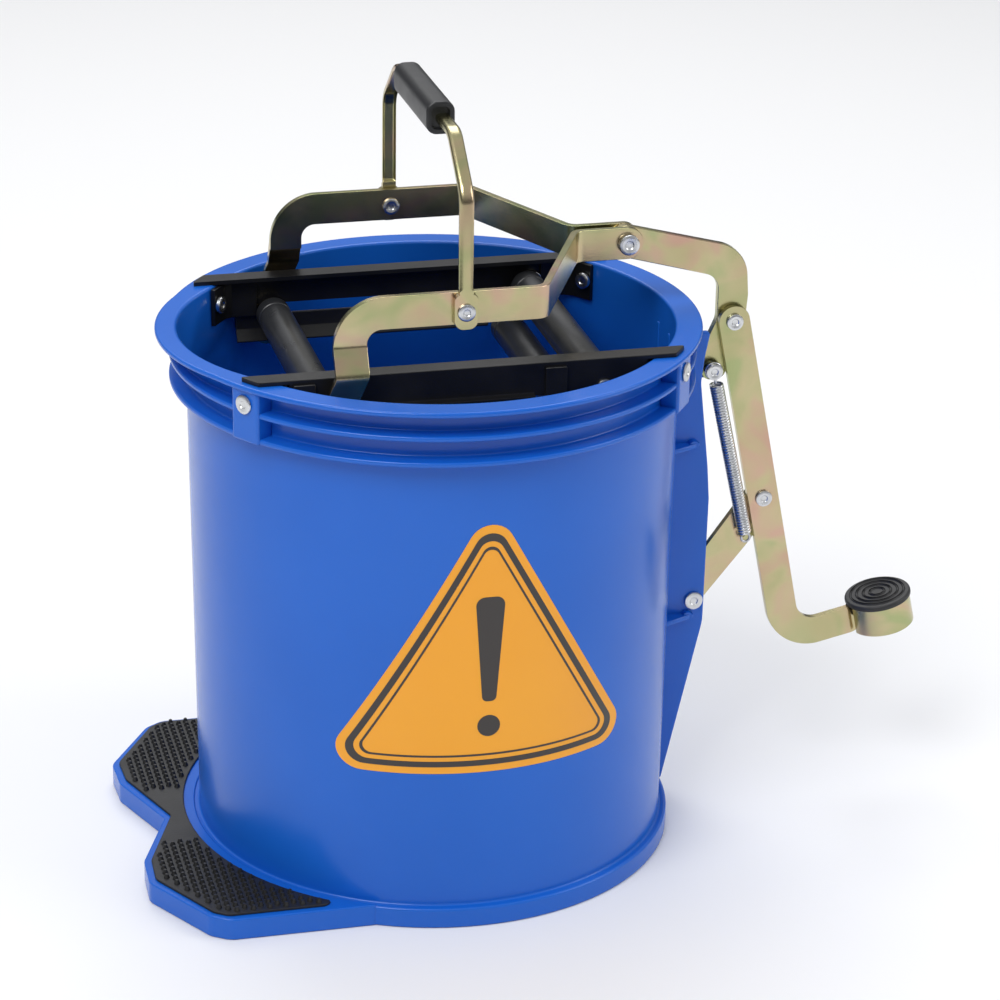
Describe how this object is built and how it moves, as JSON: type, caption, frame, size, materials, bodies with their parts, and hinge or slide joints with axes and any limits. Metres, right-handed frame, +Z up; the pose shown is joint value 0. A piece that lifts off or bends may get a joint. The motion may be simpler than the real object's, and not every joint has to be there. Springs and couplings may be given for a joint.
{
  "type": "mop bucket with wringer",
  "caption": "Round blue mop bucket with a foot-operated roller wringer on its rim, a pivoting carry handle and a studded foot tread.",
  "frame": {"origin": "centre of the bucket's base, on the floor", "axes": "+Z up, +X from the bucket's axis towards the foot pedal, +Y to the rear"},
  "size_m": [0.4796, 0.306, 0.4532],
  "materials": {
    "bucket_blue": "moulded polypropylene, satin",
    "tread_rubber": "studded rubber",
    "label_amber": "printed film",
    "rail_black": "black powder coat",
    "yellow_zinc": "yellow passivated zinc plate",
    "bright_zinc": "bright zinc plate",
    "roller_grey": "moulded nylon",
    "grip_black": "moulded grip",
    "pedal_rubber": "ribbed rubber"
  },
  "bodies": {
    "bucket": {"bucket_base": "bucket_blue", "bucket_wall": "bucket_blue", "bucket_rim": "bucket_blue", "tread_pad": "tread_rubber", "front_label": "label_amber", "rail_front": "rail_black", "rail_rear": "rail_black", "guide_bar_front": "rail_black", "guide_bar_rear": "rail_black", "rail_strap_front_left": "rail_black", "rail_strap_front_right": "rail_black", "rail_strap_rear_left": "rail_black", "rail_strap_rear_right": "rail_black", "rim_bracket_front_left": "rail_black", "rim_bracket_front_right": "rail_black", "rim_bracket_rear_left": "rail_black", "rim_bracket_rear_right": "rail_black", "rim_rivet_front_left": "bright_zinc", "rim_rivet_front_right": "bright_zinc", "rim_rivet_rear_left": "bright_zinc", "rim_rivet_rear_right": "bright_zinc", "bearing_plate_front": "rail_black", "bearing_plate_rear": "rail_black", "axle_right_upper": "bright_zinc", "axle_right_lower": "bright_zinc", "plate_spacer_front": "bright_zinc", "plate_spacer_rear": "bright_zinc", "crank_pin": "bright_zinc", "link_pin": "bright_zinc", "return_spring": "bright_zinc"},
    "crank": {"crank_bar": "yellow_zinc", "knee_rivet": "bright_zinc"},
    "lever": {"foot_lever": "yellow_zinc", "lever_rivet": "bright_zinc", "pedal_pad": "pedal_rubber"},
    "link": {"link_bar": "yellow_zinc"},
    "yoke": {"yoke_arm_front": "yellow_zinc", "yoke_arm_rear": "yellow_zinc", "yoke_bolt": "bright_zinc", "yoke_nut": "bright_zinc", "handle_rivet_front": "bright_zinc", "handle_rivet_rear": "bright_zinc"},
    "carriage": {"carriage_plate_front": "yellow_zinc", "carriage_plate_rear": "yellow_zinc", "axle_left_upper": "bright_zinc", "axle_left_lower": "bright_zinc"},
    "roller_a": {"roller_left_upper": "roller_grey"},
    "roller_b": {"roller_left_lower": "roller_grey"},
    "roller_c": {"roller_right_upper": "roller_grey"},
    "roller_d": {"roller_right_lower": "roller_grey"},
    "handle": {"carry_bail": "yellow_zinc", "carry_grip": "grip_black"}
  },
  "joints": [
    {"name": "crank_swing", "type": "hinge", "parent": "bucket", "child": "crank", "pos_m": [0.166, 0, 0.2725], "axis": [0, 1, 0], "range_deg": [0, 60], "stiffness_Nm_per_rad": 1, "springref_deg": -17.19},
    {"name": "lever_fold", "type": "hinge", "parent": "crank", "child": "lever", "pos_m": [0.1775, 0, 0.302], "axis": [0, 1, 0], "range_deg": [-64, 0.5]},
    {"name": "link_swing", "type": "hinge", "parent": "bucket", "child": "link", "pos_m": [0.157, 0, 0.1305], "axis": [0, 1, 0], "range_deg": [-0.5, 29], "deforming": ["return_spring"]},
    {"name": "yoke_level", "type": "hinge", "parent": "crank", "child": "yoke", "pos_m": [0.112, 0, 0.3535], "axis": [0, 1, 0], "range_deg": [-60.5, 0.5]},
    {"name": "carriage_slide", "type": "slide", "parent": "bucket", "child": "carriage", "axis": [1, 0, 0], "range_m": [-0.0005, 0.0985]},
    {"name": "roller_spin_a", "type": "hinge", "parent": "carriage", "child": "roller_a", "pos_m": [-0.0775, 0, 0.295], "axis": [0, 1, 0], "continuous": true},
    {"name": "roller_spin_b", "type": "hinge", "parent": "carriage", "child": "roller_b", "pos_m": [-0.065, 0, 0.27], "axis": [0, 1, 0], "continuous": true},
    {"name": "roller_spin_c", "type": "hinge", "parent": "bucket", "child": "roller_c", "pos_m": [0.076, 0, 0.301], "axis": [0, 1, 0], "continuous": true},
    {"name": "roller_spin_d", "type": "hinge", "parent": "bucket", "child": "roller_d", "pos_m": [0.064, 0, 0.277], "axis": [0, 1, 0], "continuous": true},
    {"name": "handle_fold", "type": "hinge", "parent": "yoke", "child": "handle", "pos_m": [-0.0045, 0, 0.3525], "axis": [0, 1, 0], "range_deg": [-70, 70]}
  ],
  "couplings": [
    {"joint": "lever_fold", "follows": "crank_swing", "ratio": -1},
    {"joint": "link_swing", "follows": "crank_swing", "ratio": 0.419},
    {"joint": "yoke_level", "follows": "crank_swing", "ratio": -1},
    {"joint": "carriage_slide", "follows": "crank_swing", "m_per_rad": 0.09184}
  ]
}
